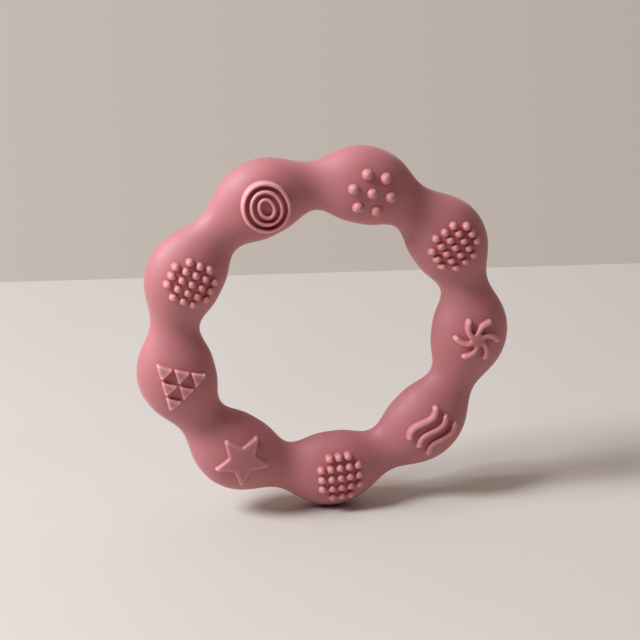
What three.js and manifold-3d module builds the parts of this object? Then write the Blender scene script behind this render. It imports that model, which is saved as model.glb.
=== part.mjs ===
// Teething ring: nine soft beads that run into each other round a ring, with a raised motif on the
// front and on the back of every bead. It is one silicone moulding; the ring and the patch under
// each motif are separate nodes, so that a motif can be found, changed or left out by name.
//
// Millimetres. The shapes are worked out with the ring lying in the XY plane and its front up, and
// the last lines stand it upright: the ring's axis is then Y, its front faces -Y and +Z is up. The
// origin is the centre of the ring.
import * as THREE from 'three';
import { ParametricGeometry } from 'three/addons/geometries/ParametricGeometry.js';
import { mergeVertices } from 'three/addons/utils/BufferGeometryUtils.js';
import Module from 'manifold-3d';

// The ring. Widths are in the ring's plane; the beads and necks are flatter from front to back.
const BEAD_COUNT = 9;
const CENTRE_LINE_RADIUS = 39.8;
const BEAD_RADIUS = 10.2;
const NECK_RADIUS = 6.4;
const SHOULDER = 0.5; // extra fullness halfway from a bead to a neck
const NECK_PULL_IN = 0.8; // the necks sit this much nearer to the ring's centre than the beads
const THICKNESS_RATIO = 0.7; // front-to-back thickness over width
const FIRST_BEAD_ANGLE = 114; // degrees, counter-clockwise from +X seen from the front

// The motifs and the round patches that carry them, one on each side of each bead. "Outwards" is
// away from the ring's centre, and "sideways" is along the ring, counter-clockwise from the front.
const PATCH_RADIUS = 8.4;
const PATCH_FLOOR = 2.9; // height of a patch's flat underside over the ring's middle plane
const PATCH_ROOT = 0.8; // how far a motif reaches down into its patch, at the least
const SEAT_GAP = 0.3; // clearance between a patch and its seat in the ring
const BEAD_HEIGHT = THICKNESS_RATIO * BEAD_RADIUS; // of a bead's front over the ring's middle plane
const CLEAR_HEIGHT = BEAD_HEIGHT + 2; // over the beads and every motif

// The motifs' heights are those over the middle of the bead. Their tops are flatter than the bead:
// they fall away from its middle by only a share of the bead's own fall.
const RELIEF_HEIGHT = 1; // of the ridges, the pinwheel and the waves
const STAR_HEIGHT = 0.65;
const TRIANGLE_HEIGHT = 0.95;
const TOP_FALL = 0.6;
const NUB_FALL = 0.7; // of the tips of the nubs and dots

// Three oval ridges round a pit.
const RIDGE_RADII = [1.85, 3.8, 5.75]; // half the width of each oval, to the middle of the ridge
const RIDGE_STRETCH = 0.7; // the ovals reach this much further outwards and inwards
const RIDGE_WIDTH = 0.95;

// Round nubs: a grid of small ones, and seven large dots.
const NUB = { baseRadius: 1.15, tipRadius: 0.95, height: 1.15 };
const NUB_OUTWARD_PITCH = 2.7;
const NUB_SIDEWAYS_PITCH = 2.46;
const NUB_REACH = 2; // nubs from the middle of the grid to its edge
const DOT = { baseRadius: 1.55, tipRadius: 1.35, height: 1.3 };
const DOT_PITCH = 5;

// A pinwheel of six curved arms.
const ARM_COUNT = 6;
const ARM_REACH = 6.2;
const ARM_WIDTH = 1.4;
const ARM_SWEEP = 38; // degrees clockwise from an arm's root to its tip
const ARM_BEND_RADIUS = 3.8; // where an arm starts to turn
const HUB_RADIUS = 2;

// Three S-shaped waves that run along the ring, side by side.
const WAVE_LENGTH = 10.2;
const WAVE_HEIGHT = 0.9;
const WAVE_WIDTH = 1.5;
const WAVE_PITCH = 3.55;
const WAVE_TILT = 2.5; // degrees, counter-clockwise

// A five-pointed star with blunt points.
const STAR_POINTS = 5;
const STAR_OUTER_RADIUS = 7.3;
const STAR_INNER_RADIUS = 3.7;
const STAR_POINT_WIDTH = 1.2;

// Six small triangles in rows of three, two and one.
const TRIANGLE_ROWS = 3;
const TRIANGLE_SIDE = 3.9;
const TRIANGLE_PITCH = 4.55;

// How far each motif sits outwards and sideways from the middle of its bead, in the photo.
const SHIFTS = {
  circles: [-0.35, 0],
  sevenDots: [-0.2, -0.5],
  upperNubs: [0.15, -0.35],
  pinwheel: [0.15, 0.3],
  waves: [0.35, 0.25],
  lowerNubs: [0, 0.5],
  star: [-0.1, 0.5],
  triangles: [0.7, -0.1],
  leftNubs: [-0.35, 0],
};

// Arms and waves end bluntly, this far past the end of their middle line, over their width.
const CAP_REACH = 0.42;

// Facets.
const STEPS_PER_BEAD = 8;
const SECTION_SIDES = 16;
const PATCH_SIDES = 20;
const RIDGE_SIDES = 16;
const NUB_SIDES = 5;
const DOT_SIDES = 8;
const STROKE_STEPS = 4;

const SILICONE = { color: 0xd58f97, roughness: 0.55, metalness: 0, flatShading: true };

const wasm = await Module();
wasm.setup();

// --- Solids and geometries ---

function toSolid(geometry) {
  geometry.deleteAttribute('normal');
  geometry.deleteAttribute('uv');
  const merged = mergeVertices(geometry);
  return new wasm.Manifold(new wasm.Mesh({
    numProp: 3,
    vertProperties: Float32Array.from(merged.attributes.position.array),
    triVerts: Uint32Array.from(merged.index.array),
  }));
}

function toMesh(name, solid) {
  const { vertProperties, triVerts } = solid.getMesh();
  const geometry = new THREE.BufferGeometry();
  geometry.setAttribute('position', new THREE.BufferAttribute(vertProperties, 3));
  geometry.setIndex(new THREE.BufferAttribute(triVerts, 1));
  geometry.computeVertexNormals();
  const mesh = new THREE.Mesh(geometry, new THREE.MeshStandardMaterial(SILICONE));
  mesh.name = name;
  return mesh;
}

function join(solids) {
  return solids.reduce((joined, solid) => joined.add(solid));
}

// --- The ring's surface ---

// Half the ring's width at an angle: full at the beads, slim at the necks.
function sectionRadius(theta) {
  const wave = Math.cos(BEAD_COUNT * theta);
  const middle = (BEAD_RADIUS + NECK_RADIUS) / 2;
  const swing = (BEAD_RADIUS - NECK_RADIUS) / 2;
  return middle + swing * wave + SHOULDER * (1 - wave * wave);
}

function centreLineRadius(theta) {
  return CENTRE_LINE_RADIUS - NECK_PULL_IN * (1 - Math.cos(BEAD_COUNT * theta)) / 2;
}

// The ring's front height at a place given by its offsets, outwards and sideways, from the middle of
// the bead at angle 0.
function frontHeight(outwards, sideways) {
  const x = CENTRE_LINE_RADIUS + outwards;
  const theta = Math.atan2(sideways, x);
  const across = Math.hypot(x, sideways) - centreLineRadius(theta);
  return THICKNESS_RATIO * Math.sqrt(sectionRadius(theta) ** 2 - across ** 2);
}

// The height of a motif's top at such a place.
function topHeight(outwards, sideways, height, fall) {
  return BEAD_HEIGHT + height - fall * (BEAD_HEIGHT - frontHeight(outwards, sideways));
}

// The whole ring, without seats.
function ringSolid() {
  const surface = (u, v, target) => {
    const phi = -2 * Math.PI * (u % 1);
    const theta = 2 * Math.PI * (v % 1);
    const radius = sectionRadius(theta);
    const rho = centreLineRadius(theta) + radius * Math.cos(phi);
    const height = THICKNESS_RATIO * radius * Math.sin(phi);
    target.set(rho * Math.cos(theta), rho * Math.sin(theta), height);
  };
  return toSolid(new ParametricGeometry(surface, SECTION_SIDES, BEAD_COUNT * STEPS_PER_BEAD));
}

const plainRing = ringSolid();

// --- Patches ---

// A round plug along the ring's axis, on the bead at angle 0, from a height up to clear of the bead.
function plug(radius, bottom) {
  const geometry = new THREE.CylinderGeometry(radius, radius, CLEAR_HEIGHT - bottom, PATCH_SIDES);
  geometry.rotateX(Math.PI / 2);
  geometry.translate(CENTRE_LINE_RADIUS, 0, (bottom + CLEAR_HEIGHT) / 2);
  return geometry;
}

const patch = plainRing.intersect(toSolid(plug(PATCH_RADIUS, PATCH_FLOOR)));

// A motif with upright walls: its outlines, with x outwards and y sideways, cut off at its top.
function raised(shapes, height, [outwards, sideways]) {
  const bottom = PATCH_FLOOR + PATCH_ROOT;
  const walls = shapes.map((shape) => {
    const depth = CLEAR_HEIGHT - bottom;
    const geometry = new THREE.ExtrudeGeometry(shape, { depth, bevelEnabled: false });
    geometry.translate(CENTRE_LINE_RADIUS + outwards, sideways, bottom);
    return toSolid(geometry);
  });
  const under = plainRing.scale([1, 1, TOP_FALL]);
  return join(walls).intersect(under.translate([0, 0, (1 - TOP_FALL) * BEAD_HEIGHT + height]));
}

// --- Outlines ---

function polar(radius, angle) {
  return new THREE.Vector2(radius * Math.cos(angle), radius * Math.sin(angle));
}

function oval(outwardRadius, sidewaysRadius, sides) {
  const ellipse = new THREE.EllipseCurve(0, 0, outwardRadius, sidewaysRadius);
  return ellipse.getPoints(sides).slice(1);
}

// A stroke of even width along a curve, with blunt ends that reach on past the curve's ends.
function stroke(curve, width) {
  const half = width / 2;
  const reach = CAP_REACH * width;
  const edge = (t, aside, ahead = 0) => {
    const tangent = curve.getTangent(t);
    const normal = new THREE.Vector2(-tangent.y, tangent.x);
    return curve.getPoint(t).addScaledVector(normal, aside).addScaledVector(tangent, ahead);
  };
  const steps = Array.from({ length: STROKE_STEPS + 1 }, (_, i) => i / STROKE_STEPS);
  return new THREE.Shape([
    edge(0, -half / 2, -reach),
    edge(0, half / 2, -reach),
    ...steps.map((t) => edge(t, half)),
    edge(1, half / 2, reach),
    edge(1, -half / 2, reach),
    ...steps.reverse().map((t) => edge(t, -half)),
  ]);
}

// --- Motifs: each returns the solid that stands on a patch ---

function circles() {
  const shapes = RIDGE_RADII.map((radius) => {
    const outer = radius + RIDGE_WIDTH / 2;
    const inner = radius - RIDGE_WIDTH / 2;
    const shape = new THREE.Shape(oval(outer + RIDGE_STRETCH, outer, RIDGE_SIDES));
    shape.holes.push(new THREE.Path(oval(inner + RIDGE_STRETCH, inner, RIDGE_SIDES)));
    return shape;
  });
  return raised(shapes, RELIEF_HEIGHT, SHIFTS.circles);
}

// A tapered nub with a domed tip, rooted in the patch.
function nub(outwards, sideways, size, sides) {
  const foot = frontHeight(outwards, sideways);
  const height = topHeight(outwards, sideways, size.height, NUB_FALL) - foot;
  const profile = [
    new THREE.Vector2(0, -PATCH_ROOT),
    new THREE.Vector2(size.baseRadius, -PATCH_ROOT),
    new THREE.Vector2(size.tipRadius, height - size.tipRadius / 3),
    new THREE.Vector2(0, height),
  ];
  const geometry = new THREE.LatheGeometry(profile, sides);
  geometry.rotateX(Math.PI / 2);
  geometry.translate(CENTRE_LINE_RADIUS + outwards, sideways, foot);
  return toSolid(geometry);
}

// A square grid without its corners.
function nubGrid([outwards, sideways]) {
  const nubs = [];
  for (let row = -NUB_REACH; row <= NUB_REACH; row += 1) {
    for (let column = -NUB_REACH; column <= NUB_REACH; column += 1) {
      if (Math.abs(row) + Math.abs(column) < 2 * NUB_REACH) {
        const x = row * NUB_OUTWARD_PITCH + outwards;
        const y = column * NUB_SIDEWAYS_PITCH + sideways;
        nubs.push(nub(x, y, NUB, NUB_SIDES));
      }
    }
  }
  return join(nubs);
}

// One dot in the middle of six.
function sevenDots() {
  const [outwards, sideways] = SHIFTS.sevenDots;
  const dots = [nub(outwards, sideways, DOT, DOT_SIDES)];
  for (let i = 0; i < 6; i += 1) {
    const place = polar(DOT_PITCH, Math.PI / 2 + i * Math.PI / 3);
    dots.push(nub(place.x + outwards, place.y + sideways, DOT, DOT_SIDES));
  }
  return join(dots);
}

function pinwheel() {
  const shapes = [new THREE.Shape(oval(HUB_RADIUS, HUB_RADIUS, RIDGE_SIDES))];
  for (let i = 0; i < ARM_COUNT; i += 1) {
    const tipAngle = 2 * Math.PI * i / ARM_COUNT;
    const rootAngle = tipAngle + THREE.MathUtils.degToRad(ARM_SWEEP);
    const arm = new THREE.QuadraticBezierCurve(
      polar(HUB_RADIUS / 2, rootAngle),
      polar(ARM_BEND_RADIUS, rootAngle),
      polar(ARM_REACH - CAP_REACH * ARM_WIDTH, tipAngle),
    );
    shapes.push(stroke(arm, ARM_WIDTH));
  }
  return raised(shapes, RELIEF_HEIGHT, SHIFTS.pinwheel);
}

function waves() {
  const half = WAVE_LENGTH / 2;
  const pull = 2 * Math.sqrt(3) * WAVE_HEIGHT; // puts the curve's crests at the wave's height
  const tilt = THREE.MathUtils.degToRad(WAVE_TILT);
  const turned = (x, y) => new THREE.Vector2(x, y).rotateAround(new THREE.Vector2(), tilt);
  const shapes = [-WAVE_PITCH, 0, WAVE_PITCH].map((outwards) => stroke(new THREE.CubicBezierCurve(
    turned(outwards, -half),
    turned(outwards - pull, -half / 3),
    turned(outwards + pull, half / 3),
    turned(outwards, half),
  ), WAVE_WIDTH));
  return raised(shapes, RELIEF_HEIGHT, SHIFTS.waves);
}

// One of the star's points aims at the ring's centre.
function star() {
  const points = [];
  for (let i = 0; i < STAR_POINTS; i += 1) {
    const tip = Math.PI + 2 * Math.PI * i / STAR_POINTS;
    const blunt = STAR_POINT_WIDTH / 2 / STAR_OUTER_RADIUS;
    points.push(polar(STAR_OUTER_RADIUS, tip - blunt));
    points.push(polar(STAR_OUTER_RADIUS, tip + blunt));
    points.push(polar(STAR_INNER_RADIUS, tip + Math.PI / STAR_POINTS));
  }
  return raised([new THREE.Shape(points)], STAR_HEIGHT, SHIFTS.star);
}

// The rows run sideways. The single triangle is the nearest to the ring's centre, and every
// triangle points there.
function triangles() {
  const rowStep = TRIANGLE_PITCH * Math.sqrt(3) / 2;
  const cornerRadius = TRIANGLE_SIDE / Math.sqrt(3);
  const middleRow = 2 * (TRIANGLE_ROWS - 1) / 3; // where the motif's centre of area lies
  const shapes = [];
  for (let row = 0; row < TRIANGLE_ROWS; row += 1) {
    for (let i = 0; i <= row; i += 1) {
      const centre = new THREE.Vector2((row - middleRow) * rowStep, (i - row / 2) * TRIANGLE_PITCH);
      const corners = [-1, 1, 3].map((third) => polar(cornerRadius, third * Math.PI / 3).add(centre));
      shapes.push(new THREE.Shape(corners));
    }
  }
  return raised(shapes, TRIANGLE_HEIGHT, SHIFTS.triangles);
}

// --- The object ---

// Motifs in order round the ring, clockwise seen from the front, from the first bead.
const MOTIFS = [
  ['circles', circles()],
  ['seven_dots', sevenDots()],
  ['upper_nubs', nubGrid(SHIFTS.upperNubs)],
  ['pinwheel', pinwheel()],
  ['waves', waves()],
  ['lower_nubs', nubGrid(SHIFTS.lowerNubs)],
  ['star', star()],
  ['triangles', triangles()],
  ['left_nubs', nubGrid(SHIFTS.leftNubs)],
];

function beadAngle(index) {
  return THREE.MathUtils.degToRad(FIRST_BEAD_ANGLE - index * 360 / BEAD_COUNT);
}

// The ring with a seat for each patch, front and back, turned so that its beads lie at the beads'
// angles.
function ringBody() {
  const seats = [];
  for (let i = 0; i < BEAD_COUNT; i += 1) {
    for (const turnedOver of [0, Math.PI]) {
      const seat = plug(PATCH_RADIUS + SEAT_GAP, PATCH_FLOOR - SEAT_GAP);
      seats.push(toSolid(seat.rotateX(turnedOver).rotateZ(2 * Math.PI * i / BEAD_COUNT)));
    }
  }
  const body = toMesh('ring_body', plainRing.subtract(join(seats)));
  body.rotation.z = beadAngle(0);
  return body;
}

const ring = new THREE.Group();
ring.add(ringBody());
MOTIFS.forEach(([motif, relief], index) => {
  const bead = new THREE.Group();
  bead.rotation.z = beadAngle(index);
  const front = toMesh(`front_${motif}`, patch.add(relief));
  const back = toMesh(`back_${motif}`, patch.add(relief));
  back.scale.z = -1;
  bead.add(front, back);
  ring.add(bead);
});
ring.rotation.x = Math.PI / 2;

const teethingRing = new THREE.Group();
teethingRing.add(ring);

export default teethingRing;
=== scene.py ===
"""The looks of the teething ring: one smooth silicone moulding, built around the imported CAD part.

The ring stands upright. Its axis is Y, its front faces -Y, +Z is up and its centre is the origin.
Shapes are worked out in millimetres, and `make_piece` turns them into metres.
"""
import math

import bmesh
import bpy
import numpy as np
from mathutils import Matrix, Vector


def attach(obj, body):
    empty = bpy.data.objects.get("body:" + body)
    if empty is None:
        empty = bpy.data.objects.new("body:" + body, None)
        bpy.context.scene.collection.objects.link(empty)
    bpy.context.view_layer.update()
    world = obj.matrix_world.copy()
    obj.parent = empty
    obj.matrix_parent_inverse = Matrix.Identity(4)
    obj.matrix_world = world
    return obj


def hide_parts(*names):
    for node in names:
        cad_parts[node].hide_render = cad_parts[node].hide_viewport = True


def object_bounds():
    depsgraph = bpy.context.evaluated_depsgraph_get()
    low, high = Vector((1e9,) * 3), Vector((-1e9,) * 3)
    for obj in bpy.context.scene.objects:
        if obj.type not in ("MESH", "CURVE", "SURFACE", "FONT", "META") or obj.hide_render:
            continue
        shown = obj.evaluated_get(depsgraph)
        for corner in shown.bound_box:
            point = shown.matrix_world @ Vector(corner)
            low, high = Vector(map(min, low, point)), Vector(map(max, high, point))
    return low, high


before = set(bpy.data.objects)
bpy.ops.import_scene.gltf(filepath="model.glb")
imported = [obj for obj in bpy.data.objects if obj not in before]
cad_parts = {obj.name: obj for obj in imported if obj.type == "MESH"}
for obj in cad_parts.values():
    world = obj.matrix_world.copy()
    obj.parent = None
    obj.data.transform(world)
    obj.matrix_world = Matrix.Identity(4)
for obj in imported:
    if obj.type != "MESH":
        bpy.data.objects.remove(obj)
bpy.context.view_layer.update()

MM = 0.001

# --- Sizes in millimetres, the same as in the CAD part, whose nubs and dots taper round these radii ---

BEAD_COUNT = 9
CENTRE_LINE_RADIUS = 39.8
BEAD_RADIUS = 10.2
NECK_RADIUS = 6.4
SHOULDER = 0.5  # added to the ring's half width midway between a bead and a neck
NECK_PULL_IN = 0.8  # a neck's middle lies this much nearer to the ring's centre than a bead's
THICKNESS_RATIO = 0.7  # from front to back, of the width
FIRST_BEAD_ANGLE = math.radians(114)

# The motifs' heights are those over the middle of the bead. Their tops are flatter than the bead: they
# fall away from its middle by only a share of the bead's own fall.
RELIEF_HEIGHT = 1.0
STAR_HEIGHT = 0.65
TRIANGLE_HEIGHT = 0.95
TOP_FALL = 0.6
NUB_FALL = 0.7

RIDGE_RADII = (1.85, 3.8, 5.75)
RIDGE_STRETCH = 0.7
RIDGE_WIDTH = 0.95

NUB_RADIUS = 1.0
NUB_HEIGHT = 1.15
NUB_OUTWARD_PITCH = 2.7
NUB_SIDEWAYS_PITCH = 2.46
NUB_REACH = 2
DOT_RADIUS = 1.4
DOT_HEIGHT = 1.3
DOT_PITCH = 5.0

ARM_COUNT = 6
ARM_REACH = 6.2
ARM_WIDTH = 1.4
ARM_SWEEP = math.radians(38)
ARM_BEND_RADIUS = 3.8
ARM_HUB_SHARE = 0.36  # how far along its own line, from 0 to 1, an arm leaves the hub

WAVE_LENGTH = 10.2
WAVE_HEIGHT = 0.9
WAVE_WIDTH = 1.5
WAVE_PITCH = 3.55
WAVE_TILT = math.radians(2.5)

STAR_POINTS = 5
STAR_OUTER_RADIUS = 7.3
STAR_INNER_RADIUS = 3.7
STAR_TIP_ROUND = 0.62
STAR_TIP_CUT = 0.9  # about what that takes off a sharp tip
STAR_NOOK_ROUND = 0.5

TRIANGLE_ROWS = 3
TRIANGLE_SIDE = 3.9
TRIANGLE_PITCH = 4.55
TRIANGLE_ROUND = 0.3
TRIANGLE_CUT = 0.2  # about what that takes off a sharp corner

# How far each motif sits outwards and sideways from the middle of its bead.
SHIFTS = {
    "circles": (-0.35, 0.0),
    "seven_dots": (-0.2, -0.5),
    "upper_nubs": (0.15, -0.35),
    "pinwheel": (0.15, 0.3),
    "waves": (0.35, 0.25),
    "lower_nubs": (0.0, 0.5),
    "star": (-0.1, 0.5),
    "triangles": (0.7, -0.1),
    "left_nubs": (-0.35, 0.0),
}

# --- Details too fine for the CAD part, in millimetres ---

ROOT = 0.9  # how deep a motif reaches into its bead
NUB_ROOT = 1.3  # the same for a nub or dot, so deep that its foot doesn't count as a thin part
FOOT = 0.18  # radius of the hollow curve between a motif's wall and its bead
SINK = 0.02  # how far under the bead's surface that curve ends
NUB_SINK = 0.04  # the same for a nub or dot
NUB_SIDE = 1.5  # how far a nub's side goes down from its ball
SIDE_SLOPE = 6  # that side falls by this many times as much as it goes out
PARTING_RIDGE = 0.05  # height of the line that the two halves of the mould leave
PARTING_WIDTH = 0.25


# --- The ring's surface ---

def section_radius(theta):
    """Half the ring's width at an angle."""
    wave = np.cos(BEAD_COUNT * theta)
    middle = (BEAD_RADIUS + NECK_RADIUS) / 2
    swing = (BEAD_RADIUS - NECK_RADIUS) / 2
    return middle + swing * wave + SHOULDER * (1 - wave**2)


def centre_line_radius(theta):
    return CENTRE_LINE_RADIUS - NECK_PULL_IN * (1 - np.cos(BEAD_COUNT * theta)) / 2


def height_over_bead(outwards, sideways, lift):
    """Height over the ring's middle plane, at offsets from a bead's middle, of the surface that lies
    `lift` over the bead's."""
    x = CENTRE_LINE_RADIUS + outwards
    theta = np.arctan2(sideways, x)
    radius = section_radius(theta)
    across = (np.hypot(x, sideways) - centre_line_radius(theta)) / (radius + lift)
    return (THICKNESS_RATIO * radius + lift) * np.sqrt(1 - across**2)


def top_height(outwards, sideways, height, fall):
    """Height of a motif's top, which is flatter than its bead; `height` is that over the bead's middle."""
    middle = THICKNESS_RATIO * BEAD_RADIUS
    return middle + height - fall * (middle - height_over_bead(outwards, sideways, 0))


# --- Shells: each is (points, faces), with points as rows of x, y, z ---

def loft(loops, closed=False):
    """Faces between neighbouring loops of points, and from the last loop to the first if closed."""
    loops = np.asarray(loops)
    loop_count, size = loops.shape[:2]
    faces = []
    for j in range(loop_count if closed else loop_count - 1):
        k = (j + 1) % loop_count
        for i in range(size):
            n = (i + 1) % size
            faces.append((j * size + i, j * size + n, k * size + n, k * size + i))
    return loops.reshape(-1, 3), faces


def join(shells):
    points, faces, start = [], [], 0
    for shell_points, shell_faces in shells:
        points.append(shell_points)
        faces += [tuple(start + i for i in face) for face in shell_faces]
        start += len(shell_points)
    return np.vstack(points), faces


def polar(radius, angle):
    return np.array([radius * math.cos(angle), radius * math.sin(angle)])


# --- Outlines: points, outward normals, and the line inside that each point's top runs in to ---

class Outline:
    def __init__(self, points, normals, spine):
        self.points = np.asarray(points)
        self.normals = np.asarray(normals)
        self.spine = np.asarray(spine)

    def moved(self, offset):
        return Outline(self.points + offset, self.normals, self.spine + offset)


def add_edge(points, normals, end, edge_step):
    """Adds the points of a straight edge, between the last point and the edge's end."""
    start, normal = points[-1], normals[-1]
    steps = max(1, round(np.linalg.norm(end - start) / edge_step))
    for step in range(1, steps):
        points.append(start + (end - start) * step / steps)
        normals.append(normal)


def rounded_polygon(corners, radii, edge_step, arc_steps=8):
    """A counter-clockwise polygon with its corners rounded off; its spine is the origin. A radius is
    that of the corner's arc, whichever way the corner turns."""
    points, normals = [], []
    corners = np.asarray(corners)
    count = len(corners)
    for i in range(count):
        before, here, after = corners[i - 1], corners[i], corners[(i + 1) % count]
        came = (here - before) / np.linalg.norm(here - before)
        goes = (after - here) / np.linalg.norm(after - here)
        cross = came[0] * goes[1] - came[1] * goes[0]
        turn = math.atan2(cross, came @ goes)
        bulge = math.copysign(1, turn)
        setback = radii[i] * math.tan(abs(turn) / 2)
        start = here - came * setback
        first_normal = np.array([came[1], -came[0]])
        centre = start - first_normal * radii[i] * bulge
        if points:
            add_edge(points, normals, start, edge_step)
        for step in range(arc_steps + 1):
            angle = turn * step / arc_steps
            normal = np.array([
                first_normal[0] * math.cos(angle) - first_normal[1] * math.sin(angle),
                first_normal[0] * math.sin(angle) + first_normal[1] * math.cos(angle),
            ])
            points.append(centre + normal * radii[i] * bulge)
            normals.append(normal)
    add_edge(points, normals, points[0], edge_step)
    return Outline(points, normals, np.zeros((len(points), 2)))


def bezier(controls, t):
    """Points and unit tangents of a Bezier curve of any degree."""
    controls = np.asarray(controls)
    degree = len(controls) - 1
    t = np.asarray(t, float)[:, None]
    places = sum(
        math.comb(degree, i) * t**i * (1 - t) ** (degree - i) * controls[i] for i in range(degree + 1)
    )
    steps = degree * np.diff(controls, axis=0)
    slopes = sum(
        math.comb(degree - 1, i) * t**i * (1 - t) ** (degree - 1 - i) * steps[i] for i in range(degree)
    )
    return places, slopes / np.linalg.norm(slopes, axis=1)[:, None]


def arm_edge(places, tangents, half_width, cap_steps):
    """Out along a line's right side, round its end, and back along its left side."""
    right = np.column_stack([tangents[:, 1], -tangents[:, 0]])
    start = math.atan2(right[-1][1], right[-1][0])
    angles = start + math.pi * np.arange(1, cap_steps) / cap_steps
    cap = np.column_stack([np.cos(angles), np.sin(angles)])
    normals = np.vstack([right, cap, -right[::-1]])
    spine = np.vstack([places, np.repeat(places[-1:], len(cap), axis=0), places[::-1]])
    return Outline(spine + half_width * normals, normals, spine)


def stroke(controls, width, steps=24, cap_steps=12):
    """A stroke of even width with round ends, along a Bezier curve."""
    places, tangents = bezier(controls, np.linspace(0, 1, steps + 1))
    there = arm_edge(places, tangents, width / 2, cap_steps)
    back = arm_edge(places[::-1], -tangents[::-1], width / 2, cap_steps)
    side = steps + cap_steps  # one side and the cap at its end
    return Outline(
        np.vstack([there.points[:side], back.points[:side]]),
        np.vstack([there.normals[:side], back.normals[:side]]),
        np.vstack([there.spine[:side], back.spine[:side]]),
    )


# --- Motifs, in a bead's own frame: x outwards, y sideways, z the height ---

def quarter(steps):
    """Sine and cosine at even steps over a quarter turn."""
    angles = np.linspace(0, math.pi / 2, steps + 1)
    return zip(np.sin(angles), np.cos(angles))


def wall_profile(height, draft, edge_in, edge_up, top_steps, crown=0.0):
    """Steps up a motif's side and over its top: (offset out of its outline, height over the bead, share
    of the way in to its spine)."""
    steps = [(FOOT, -ROOT, 1.0), (FOOT, -ROOT, 0.0)]
    steps += [(FOOT * (1 - s), FOOT * (1 - c) - SINK * c, 0.0) for s, c in quarter(5)]
    steps += [(-draft - edge_in * (1 - c), height - edge_up * (1 - s), 0.0) for s, c in quarter(7)]
    for i in range(1, top_steps + 1):
        share = i / top_steps
        steps.append((-draft - edge_in, height + crown * (1 - (1 - share) ** 2), share))
    return steps


def relief_loop(places, over):
    """Points at places over a bead: on its foot curve, or up by its top."""
    if over <= FOOT:
        heights = height_over_bead(places[:, 0], places[:, 1], over)
    else:
        heights = top_height(places[:, 0], places[:, 1], over, TOP_FALL)
    return np.column_stack([places, heights])


def relief(outline, profile):
    """A solid over an outline."""
    loops = []
    for offset, over, share in profile:
        places = outline.points + offset * outline.normals
        loops.append(relief_loop(places + share * (outline.spine - places), over))
    return loft(loops)


def nub(outwards, sideways, radius, height, steps):
    """A ball-tipped nub that stands up along the ring's axis, and runs into the bead in a small hollow
    curve whatever the bead's slope."""
    tip = top_height(outwards, sideways, height, NUB_FALL)
    steepest = math.atan(SIDE_SLOPE)
    profile = [
        (radius * math.sin(angle), tip - radius * (1 - math.cos(angle)))
        for angle in np.linspace(0, steepest, 11)
    ]
    out, up = profile[-1]
    drops = NUB_SIDE * np.linspace(0.1, 1, 10)
    profile += [(out + drop / SIDE_SLOPE, up - drop) for drop in drops]
    angles = 2 * math.pi * np.arange(steps) / steps
    around = np.column_stack([np.cos(angles), np.sin(angles)])
    loops = []
    for out, up in profile:
        places = around * out + (outwards, sideways)
        sunk = height_over_bead(places[:, 0], places[:, 1], 0) - NUB_SINK
        heights = (up + sunk + np.hypot(up - sunk, FOOT)) / 2
        loops.append(np.column_stack([places, heights]))
    for out in (profile[-1][0], 0):
        places = around * out + (outwards, sideways)
        loops.append(np.column_stack([places, height_over_bead(places[:, 0], places[:, 1], -NUB_ROOT)]))
    return loft(loops[::-1])


def circles():
    """Three oval ridges round a pit."""
    shells = []
    half = RIDGE_WIDTH / 2
    profile = wall_profile(RELIEF_HEIGHT, draft=0.04, edge_in=0.4, edge_up=0.4, top_steps=1)
    wall = [(offset + half, over) for offset, over, share in profile if share == 0]
    section = wall + [(-offset, over) for offset, over in reversed(wall)]
    for radius in RIDGE_RADII:
        steps = 40 + round(16 * radius)  # more for a longer ridge
        angles = 2 * math.pi * np.arange(steps) / steps
        long, short = radius + RIDGE_STRETCH, radius
        middle = np.column_stack([long * np.cos(angles), short * np.sin(angles)])
        normals = np.column_stack([short * np.cos(angles), long * np.sin(angles)])
        normals /= np.linalg.norm(normals, axis=1)[:, None]
        loops = []
        for offset, over in section:
            loops.append(relief_loop(middle + offset * normals + SHIFTS["circles"], over))
        shells.append(loft(loops, closed=True))
    return join(shells)


def nub_grid(motif):
    """A square grid of small nubs without its corners."""
    outwards, sideways = SHIFTS[motif]
    shells = []
    reach = range(-NUB_REACH, NUB_REACH + 1)
    for row in reach:
        for column in reach:
            if abs(row) + abs(column) < 2 * NUB_REACH:
                x = row * NUB_OUTWARD_PITCH + outwards
                y = column * NUB_SIDEWAYS_PITCH + sideways
                shells.append(nub(x, y, NUB_RADIUS, NUB_HEIGHT, steps=28))
    return join(shells)


def seven_dots():
    """One large dot in the middle of six."""
    places = [np.zeros(2)] + [polar(DOT_PITCH, math.pi / 2 + i * math.pi / 3) for i in range(6)]
    return join(nub(*(place + SHIFTS["seven_dots"]), DOT_RADIUS, DOT_HEIGHT, steps=40) for place in places)


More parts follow.
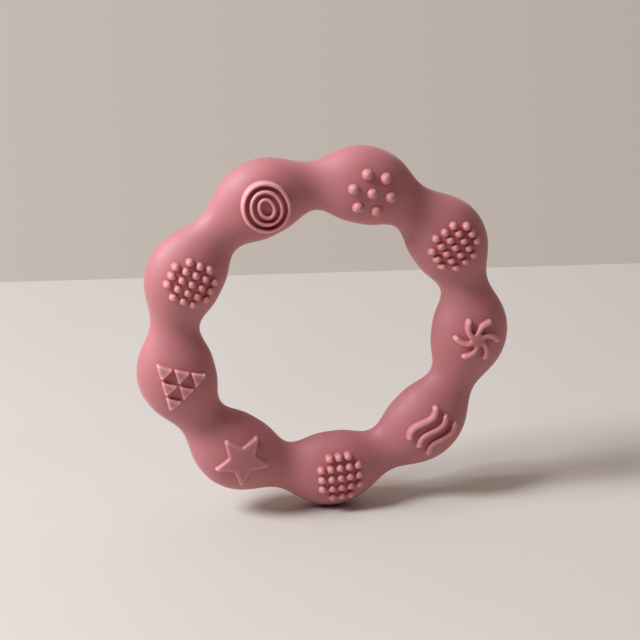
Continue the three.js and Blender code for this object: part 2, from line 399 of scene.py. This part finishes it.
def pinwheel():
    """Six curved arms that run together in a hub."""
    arms = []
    for i in range(ARM_COUNT):
        tip_angle = 2 * math.pi * i / ARM_COUNT
        root_angle = tip_angle + ARM_SWEEP
        controls = [
            (0, 0), polar(ARM_BEND_RADIUS, root_angle), polar(ARM_REACH - ARM_WIDTH / 2, tip_angle),
        ]
        arms.append(controls)
    points, normals, spine = [], [], []
    web_steps = 10
    for i, controls in enumerate(arms):
        places, tangents = bezier(controls, np.linspace(ARM_HUB_SHARE, 1, 19))
        edge = arm_edge(places, tangents, ARM_WIDTH / 2, cap_steps=12)
        following, following_tangents = bezier(arms[(i + 1) % ARM_COUNT], [ARM_HUB_SHARE])
        from_point, from_slope = edge.points[-1], -tangents[0]
        to_slope = following_tangents[0]
        to_point = following[0] + ARM_WIDTH / 2 * np.array([to_slope[1], -to_slope[0]])
        # The two sides' tangents meet at the web's control point.
        reach = np.linalg.solve(np.column_stack([from_slope, to_slope]), to_point - from_point)
        corner = from_point + reach[0] * from_slope
        shares = np.arange(1, web_steps) / web_steps
        web, slopes = bezier([from_point, corner, to_point], shares)
        inner, _ = bezier(controls, ARM_HUB_SHARE * np.maximum(1 - 2 * shares, 0))
        outer, _ = bezier(arms[(i + 1) % ARM_COUNT], ARM_HUB_SHARE * np.maximum(2 * shares - 1, 0))
        points += [edge.points, web]
        normals += [edge.normals, np.column_stack([slopes[:, 1], -slopes[:, 0]])]
        spine += [edge.spine, inner + outer]
    outline = Outline(np.vstack(points), np.vstack(normals), np.vstack(spine))
    profile = wall_profile(RELIEF_HEIGHT, draft=0.05, edge_in=0.42, edge_up=0.45, top_steps=4, crown=0.08)
    return relief(outline.moved(SHIFTS["pinwheel"]), profile)


def waves():
    """Three S-shaped waves side by side."""
    pull = 2 * math.sqrt(3) * WAVE_HEIGHT
    turn = np.array([
        [math.cos(WAVE_TILT), math.sin(WAVE_TILT)], [-math.sin(WAVE_TILT), math.cos(WAVE_TILT)],
    ])
    half = WAVE_LENGTH / 2
    profile = wall_profile(RELIEF_HEIGHT, draft=0.06, edge_in=0.45, edge_up=0.48, top_steps=3, crown=0.06)
    shells = []
    for outwards in (-WAVE_PITCH, 0, WAVE_PITCH):
        controls = np.array([
            (outwards, -half), (outwards - pull, -half / 3), (outwards + pull, half / 3), (outwards, half),
        ])
        outline = stroke(controls @ turn, WAVE_WIDTH).moved(SHIFTS["waves"])
        shells.append(relief(outline, profile))
    return join(shells)


def star():
    """A five-pointed star; one point aims at the ring's centre."""
    corners = []
    for i in range(STAR_POINTS):
        tip = math.pi + 2 * math.pi * i / STAR_POINTS
        corners.append(polar(STAR_OUTER_RADIUS + STAR_TIP_CUT, tip))
        corners.append(polar(STAR_INNER_RADIUS, tip + math.pi / STAR_POINTS))
    outline = rounded_polygon(corners, [STAR_TIP_ROUND, STAR_NOOK_ROUND] * STAR_POINTS, edge_step=0.4)
    profile = wall_profile(STAR_HEIGHT, draft=0.12, edge_in=0.45, edge_up=0.42, top_steps=10)
    return relief(outline.moved(SHIFTS["star"]), profile)


def triangles():
    """Six small triangles in rows of three, two and one; every one points at the ring's centre."""
    row_step = TRIANGLE_PITCH * math.sqrt(3) / 2
    corner_radius = TRIANGLE_SIDE / math.sqrt(3)
    corners = [polar(corner_radius + TRIANGLE_CUT, sixth * math.pi / 3) for sixth in (-1, 1, 3)]
    outline = rounded_polygon(corners, [TRIANGLE_ROUND] * 3, edge_step=0.4)
    profile = wall_profile(TRIANGLE_HEIGHT, draft=0.1, edge_in=0.25, edge_up=0.25, top_steps=5)
    middle_row = 2 * (TRIANGLE_ROWS - 1) / 3
    shells = []
    for row in range(TRIANGLE_ROWS):
        for i in range(row + 1):
            place = np.array([(row - middle_row) * row_step, (i - row / 2) * TRIANGLE_PITCH])
            shells.append(relief(outline.moved(place + SHIFTS["triangles"]), profile))
    return join(shells)


# --- Material ---

SILICONE_COLOURS = (0.496, 0.138, 0.150), (0.521, 0.151, 0.164)  # in its clouds
BLOOM_COLOUR = (0.560, 0.195, 0.210)
# Painted shade: the grooves' deep red stands in for shade reddened by light through the rubber.
PAINTED_GROOVE_SHADE = (0.47, 0.022, 0.03)
# Painted glow: the edges' pale pink stands in for light that has passed through thin rubber.
PAINTED_EDGE_GLOW = (0.86, 0.38, 0.40)
GROOVE_WIDTH = 2.0  # painted shade: a groove is painted deep red up to this many millimetres wide
EDGE_THICKNESS = 1.2  # painted glow: an edge is painted pale up to this many millimetres thick
COLOUR_A, COLOUR_B, COLOUR_OUT = 6, 7, 2  # a Mix node's sockets when it mixes colours


def node_tree(material):
    tree = material.node_tree
    return tree, tree.nodes, tree.links


def add_noise(tree, coordinates, scale, detail):
    noise = tree.nodes.new("ShaderNodeTexNoise")
    noise.inputs["Scale"].default_value = scale
    noise.inputs["Detail"].default_value = detail
    tree.links.new(coordinates, noise.inputs["Vector"])
    return noise.outputs["Fac"]


def add_range(tree, value, low, high, value_low=0.3, value_high=0.7):
    """Maps a value to low to high; what is outside its own range is held at the ends."""
    mapped = tree.nodes.new("ShaderNodeMapRange")
    mapped.inputs["From Min"].default_value = value_low
    mapped.inputs["From Max"].default_value = value_high
    mapped.inputs["To Min"].default_value = low
    mapped.inputs["To Max"].default_value = high
    tree.links.new(value, mapped.inputs["Value"])
    return mapped.outputs["Result"]


def add_mix(tree, share, first, second):
    mix = tree.nodes.new("ShaderNodeMix")
    mix.data_type = "RGBA"
    tree.links.new(share, mix.inputs["Factor"])
    for socket, colour in ((mix.inputs[COLOUR_A], first), (mix.inputs[COLOUR_B], second)):
        if isinstance(colour, bpy.types.NodeSocket):
            tree.links.new(colour, socket)
        else:
            socket.default_value = (*colour, 1)
    return mix.outputs[COLOUR_OUT]


def add_openness(tree, distance, inside, low, high):
    """1 in the open and 0 in a groove, or, looking inside, 1 in thick parts and 0 in thin ones. The
    distance, in millimetres, is how far off a groove's other side may be, or how thick a thin part.
    Low and high are the shares of free directions that count as 0 and as 1."""
    openness = tree.nodes.new("ShaderNodeAmbientOcclusion")
    openness.inside = inside
    openness.only_local = inside
    openness.samples = 8
    openness.inputs["Distance"].default_value = distance * MM
    return add_range(tree, openness.outputs["AO"], 0, 1, low, high)


def silicone():
    """Matt, dusty rose silicone rubber with a faint bloom. Its grooves are painted deep red, a painted
    shade reddened by light that has passed through the rubber, and its thin parts and edges painted pale,
    a painted glow."""
    material = bpy.data.materials.new("dusty_rose_silicone")
    material.use_nodes = True
    tree, nodes, links = node_tree(material)
    shader = nodes["Principled BSDF"]
    where = nodes.new("ShaderNodeTexCoord").outputs["Object"]

    cloud = add_range(tree, add_noise(tree, where, 70, 3), 0, 1)
    grain = add_range(tree, add_noise(tree, where, 1800, 2), 0, 0.35)
    clouded = add_mix(tree, cloud, *SILICONE_COLOURS)
    grained = add_mix(tree, grain, clouded, BLOOM_COLOUR)
    # Painted glow: thin parts and edges are painted pale, as if lit by light passing through the rubber.
    thick = add_openness(tree, EDGE_THICKNESS, inside=True, low=0.5, high=1.0)
    with_painted_glow = add_mix(tree, thick, PAINTED_EDGE_GLOW, grained)
    # Painted shade: grooves are painted deep red, as shade reddened by light that has passed through the
    # rubber.
    open_air = add_openness(tree, GROOVE_WIDTH, inside=False, low=0.3, high=0.95)
    links.new(add_mix(tree, open_air, PAINTED_GROOVE_SHADE, with_painted_glow), shader.inputs["Base Color"])

    links.new(add_range(tree, add_noise(tree, where, 240, 4), 0.60, 0.72), shader.inputs["Roughness"])
    shader.inputs["IOR"].default_value = 1.55
    shader.inputs["Specular IOR Level"].default_value = 1.0
    shader.inputs["Subsurface Weight"].default_value = 0.12
    shader.inputs["Subsurface Radius"].default_value = (1.0, 0.28, 0.24)
    shader.inputs["Subsurface Scale"].default_value = 1.2 * MM
    shader.inputs["Sheen Weight"].default_value = 0.5
    shader.inputs["Sheen Roughness"].default_value = 0.35
    shader.inputs["Sheen Tint"].default_value = (1.0, 0.85, 0.86, 1)

    skin = nodes.new("ShaderNodeBump")
    skin.inputs["Strength"].default_value = 0.35
    skin.inputs["Distance"].default_value = 0.02 * MM
    links.new(add_noise(tree, where, 4500, 2), skin.inputs["Height"])
    swell = nodes.new("ShaderNodeBump")
    swell.inputs["Strength"].default_value = 0.3
    swell.inputs["Distance"].default_value = 0.1 * MM
    links.new(add_noise(tree, where, 260, 1), swell.inputs["Height"])
    links.new(swell.outputs["Normal"], skin.inputs["Normal"])
    links.new(skin.outputs["Normal"], shader.inputs["Normal"])
    return material


SILICONE = silicone()


# --- Pieces ---

def make_piece(name, points, faces, node):
    """A smooth closed piece that stands for a CAD node, from points in millimetres."""
    mesh = bpy.data.meshes.new(name)
    mesh.from_pydata((points * MM).tolist(), [], faces)
    solid = bmesh.new()
    solid.from_mesh(mesh)
    bmesh.ops.remove_doubles(solid, verts=solid.verts, dist=0.001 * MM)
    bmesh.ops.recalc_face_normals(solid, faces=solid.faces)
    for face in solid.faces:
        face.smooth = True
    solid.to_mesh(mesh)
    solid.free()
    mesh.materials.append(SILICONE)
    piece = bpy.data.objects.new(name, mesh)
    bpy.context.scene.collection.objects.link(piece)
    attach(piece, "root")
    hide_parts(node)


def ring_piece():
    """The ring of beads and necks, with the mould's parting line round its outside and its inside."""
    steps_around = 48 * BEAD_COUNT
    sides = 96
    even = 2 * math.pi * np.arange(sides) / sides
    half_ridge = PARTING_WIDTH / 2 / (THICKNESS_RATIO * BEAD_RADIUS)  # as an angle round the section
    ridge = np.array([-1, -0.5, 0, 0.5, 1]) * half_ridge
    phis = np.unique(np.concatenate([even, ridge % (2 * math.pi), math.pi + ridge]))
    near = np.abs((phis + math.pi / 2) % math.pi - math.pi / 2)  # angle from the parting plane
    lifts = PARTING_RIDGE * np.clip(1 - near / half_ridge, 0, 1)
    thetas = 2 * math.pi * np.arange(steps_around) / steps_around
    radius = section_radius(thetas)
    loops = []
    for phi, lift in zip(phis, lifts):
        rho = centre_line_radius(thetas) + (radius + lift) * math.cos(phi)
        height = THICKNESS_RATIO * radius * math.sin(phi)
        turned = thetas + FIRST_BEAD_ANGLE
        loops.append(np.column_stack([rho * np.cos(turned), -height, rho * np.sin(turned)]))
    points, faces = loft(loops, closed=True)
    make_piece("ring", points, faces, "ring_body")


def motif_pieces(motif, shell, index):
    """A motif on the front and on the back of a bead."""
    points, faces = shell
    angle = FIRST_BEAD_ANGLE - 2 * math.pi * index / BEAD_COUNT
    x = CENTRE_LINE_RADIUS + points[:, 0]
    across = x * math.cos(angle) - points[:, 1] * math.sin(angle)
    up = x * math.sin(angle) + points[:, 1] * math.cos(angle)
    for side, facing in (("front", -1), ("back", 1)):
        name = f"{side}_{motif}"
        placed = np.column_stack([across, facing * points[:, 2], up])
        make_piece(f"{name}_relief", placed, faces, name)


ring_piece()
MOTIFS = [
    ("circles", circles()),
    ("seven_dots", seven_dots()),
    ("upper_nubs", nub_grid("upper_nubs")),
    ("pinwheel", pinwheel()),
    ("waves", waves()),
    ("lower_nubs", nub_grid("lower_nubs")),
    ("star", star()),
    ("triangles", triangles()),
    ("left_nubs", nub_grid("left_nubs")),
]
for index, (motif, shell) in enumerate(MOTIFS):
    motif_pieces(motif, shell, index)


# --- Stage, light and camera, in metres ---

FLOOR_BACK = 0.1878  # the floor ends this far behind the ring
FLOOR_TURN = math.radians(-7.5)  # how far its back edge is turned from the ring's own plane
FLOOR_REACH = 1.6
FLOOR_COLOURS = (0.603, 0.559, 0.512), (0.623, 0.578, 0.530)
KEY_DIRECTION = (-82, 43)  # azimuth from the front and elevation, in degrees
KEY_DISTANCE = 1.1
KEY_SIZE = 0.42
KEY_POWER = 15.1
KEY_COLOUR = (0.97, 1.03, 1.10)
SKY_DIRECTION = (170, 62)  # soft light from above and behind, which fades to nothing at a right angle
SKY_COLOUR = (1.0, 0.85, 0.78)
SKY_STRENGTH = 0.64
BACKDROP_COLOURS = (0.565, 0.497, 0.445), (0.474, 0.413, 0.376)  # painted light: lighter on the left, the key's side, and darker on the right, behind the floor
BACKDROP_SPAN = (0.08, 0.33)  # the first goes over to the second between these X of a view direction
CAMERA_DIRECTION = (-12.7, 20.5)
CAMERA_DISTANCE = 0.66
CAMERA_LENS = 142.9
CAMERA_SHIFT = (-0.0041, 0.0130)


def towards(azimuth, elevation):
    """The direction from the ring to a place; azimuth 0 is in front, and -90 is to the left."""
    a, e = math.radians(azimuth), math.radians(elevation)
    return Vector((math.sin(a) * math.cos(e), -math.cos(a) * math.cos(e), math.sin(e)))


def plain_material(name, low, high, roughness):
    material = bpy.data.materials.new(name)
    material.use_nodes = True
    tree, nodes, links = node_tree(material)
    where = nodes.new("ShaderNodeTexCoord").outputs["Object"]
    shader = nodes["Principled BSDF"]
    colour = add_mix(tree, add_range(tree, add_noise(tree, where, 14, 4), 0, 1), low, high)
    links.new(colour, shader.inputs["Base Color"])
    shader.inputs["Roughness"].default_value = roughness
    return material


def make_floor():
    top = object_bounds()[0].z
    tilt = FLOOR_REACH * math.tan(FLOOR_TURN)
    mesh = bpy.data.meshes.new("floor")
    corners = [
        (-FLOOR_REACH, -FLOOR_REACH, top), (FLOOR_REACH, -FLOOR_REACH, top),
        (FLOOR_REACH, FLOOR_BACK + tilt, top), (-FLOOR_REACH, FLOOR_BACK - tilt, top),
    ]
    mesh.from_pydata(corners, [], [(0, 1, 2, 3)])
    mesh.materials.append(plain_material("pale_floor", *FLOOR_COLOURS, roughness=0.6))
    floor = bpy.data.objects.new("floor", mesh)
    bpy.context.scene.collection.objects.link(floor)


def make_light(name, direction, distance, size, power, colour):
    light = bpy.data.lights.new(name, "AREA")
    light.shape = "DISK"
    light.size = size
    light.energy = power
    light.color = colour
    lamp = bpy.data.objects.new(name, light)
    back = towards(*direction)
    lamp.location = back * distance
    lamp.rotation_euler = back.to_track_quat("Z", "Y").to_euler()
    bpy.context.scene.collection.objects.link(lamp)


def make_surroundings():
    world = bpy.data.worlds.new("studio")
    world.use_nodes = True
    tree = world.node_tree
    sky = tree.nodes["Background"]
    sky.inputs["Color"].default_value = (*SKY_COLOUR, 1)
    direction = tree.nodes.new("ShaderNodeTexCoord").outputs["Generated"]
    facing = tree.nodes.new("ShaderNodeVectorMath")
    facing.operation = "DOT_PRODUCT"
    facing.inputs[1].default_value = towards(*SKY_DIRECTION)
    tree.links.new(direction, facing.inputs[0])
    strength = add_range(tree, facing.outputs["Value"], 0, SKY_STRENGTH, 0, 1)
    tree.links.new(strength, sky.inputs["Strength"])
    # The backdrop, seen only by the camera, is painted lighter on the left and darker on the right, as
    # light falls on a wall.
    backdrop = tree.nodes.new("ShaderNodeBackground")
    split = tree.nodes.new("ShaderNodeSeparateXYZ")
    tree.links.new(direction, split.inputs["Vector"])
    across = add_range(tree, split.outputs["X"], 0, 1, *BACKDROP_SPAN)
    tree.links.new(add_mix(tree, across, *BACKDROP_COLOURS), backdrop.inputs["Color"])
    seen = tree.nodes.new("ShaderNodeMixShader")
    tree.links.new(tree.nodes.new("ShaderNodeLightPath").outputs["Is Camera Ray"], seen.inputs["Fac"])
    tree.links.new(sky.outputs["Background"], seen.inputs[1])
    tree.links.new(backdrop.outputs["Background"], seen.inputs[2])
    tree.links.new(seen.outputs["Shader"], tree.nodes["World Output"].inputs["Surface"])
    bpy.context.scene.world = world
    bpy.context.scene.view_settings.view_transform = "Standard"


def make_camera():
    data = bpy.data.cameras.new("camera")
    data.lens = CAMERA_LENS
    data.shift_x, data.shift_y = CAMERA_SHIFT
    camera = bpy.data.objects.new("camera", data)
    back = towards(*CAMERA_DIRECTION)
    camera.location = back * CAMERA_DISTANCE
    camera.rotation_euler = back.to_track_quat("Z", "Y").to_euler()
    bpy.context.scene.collection.objects.link(camera)
    bpy.context.scene.camera = camera


make_floor()
make_light("key", KEY_DIRECTION, KEY_DISTANCE, KEY_SIZE, KEY_POWER, KEY_COLOUR)
make_surroundings()
make_camera()
